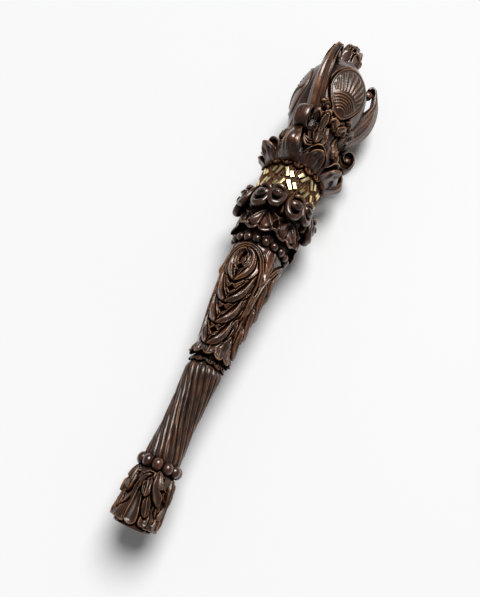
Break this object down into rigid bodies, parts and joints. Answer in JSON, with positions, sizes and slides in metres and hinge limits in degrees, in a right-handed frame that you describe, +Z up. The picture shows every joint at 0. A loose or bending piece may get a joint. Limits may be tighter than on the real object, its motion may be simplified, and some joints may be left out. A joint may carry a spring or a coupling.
{
  "type": "ceremonial mace",
  "caption": "Carved dark wood ceremonial mace with a leafy pommel, spiral grip, panelled shaft, scrolled capital, brass strokes on the neck and a head of scroll brackets and shields.",
  "frame": {"origin": "under the middle of the mace, on the surface that it lies on", "axes": "+X along the mace from the butt towards the head, +Y sideways, +Z up from the surface it lies on"},
  "size_m": [0.6722, 0.1183, 0.1164],
  "materials": {
    "carved_wood": "dark walnut brown, waxed, with paler worn edges and near-black hollows",
    "brass": "polished, slightly worn"
  },
  "bodies": {
    "root": {"carved_mace": "carved_wood", "brass_stroke_1_01": "brass", "brass_stroke_1_02": "brass", "brass_stroke_1_03": "brass", "brass_stroke_1_04": "brass", "brass_stroke_1_05": "brass", "brass_stroke_1_06": "brass", "brass_stroke_1_07": "brass", "brass_stroke_1_08": "brass", "brass_stroke_1_09": "brass", "brass_stroke_1_10": "brass", "brass_stroke_1_11": "brass", "brass_stroke_1_12": "brass", "brass_stroke_1_13": "brass", "brass_stroke_1_14": "brass", "brass_stroke_1_15": "brass", "brass_stroke_1_16": "brass", "brass_stroke_1_17": "brass", "brass_stroke_1_18": "brass", "brass_stroke_1_19": "brass", "brass_stroke_1_20": "brass", "brass_stroke_1_21": "brass", "brass_stroke_1_22": "brass", "brass_stroke_1_23": "brass", "brass_stroke_1_24": "brass", "brass_stroke_1_25": "brass", "brass_stroke_1_26": "brass", "brass_stroke_1_27": "brass", "brass_stroke_1_28": "brass", "brass_stroke_2_01": "brass", "brass_stroke_2_02": "brass", "brass_stroke_2_03": "brass", "brass_stroke_2_04": "brass", "brass_stroke_2_05": "brass", "brass_stroke_2_06": "brass", "brass_stroke_2_07": "brass", "brass_stroke_2_08": "brass", "brass_stroke_2_09": "brass", "brass_stroke_2_10": "brass", "brass_stroke_2_11": "brass", "brass_stroke_2_12": "brass", "brass_stroke_2_13": "brass", "brass_stroke_2_14": "brass", "brass_stroke_2_15": "brass", "brass_stroke_2_16": "brass", "brass_stroke_2_17": "brass", "brass_stroke_2_18": "brass", "brass_stroke_2_19": "brass", "brass_stroke_2_20": "brass", "brass_stroke_2_21": "brass", "brass_stroke_2_22": "brass", "brass_stroke_2_23": "brass", "brass_stroke_2_24": "brass", "brass_stroke_2_25": "brass", "brass_stroke_2_26": "brass", "brass_stroke_2_27": "brass", "brass_stroke_2_28": "brass"}
  },
  "joints": []
}
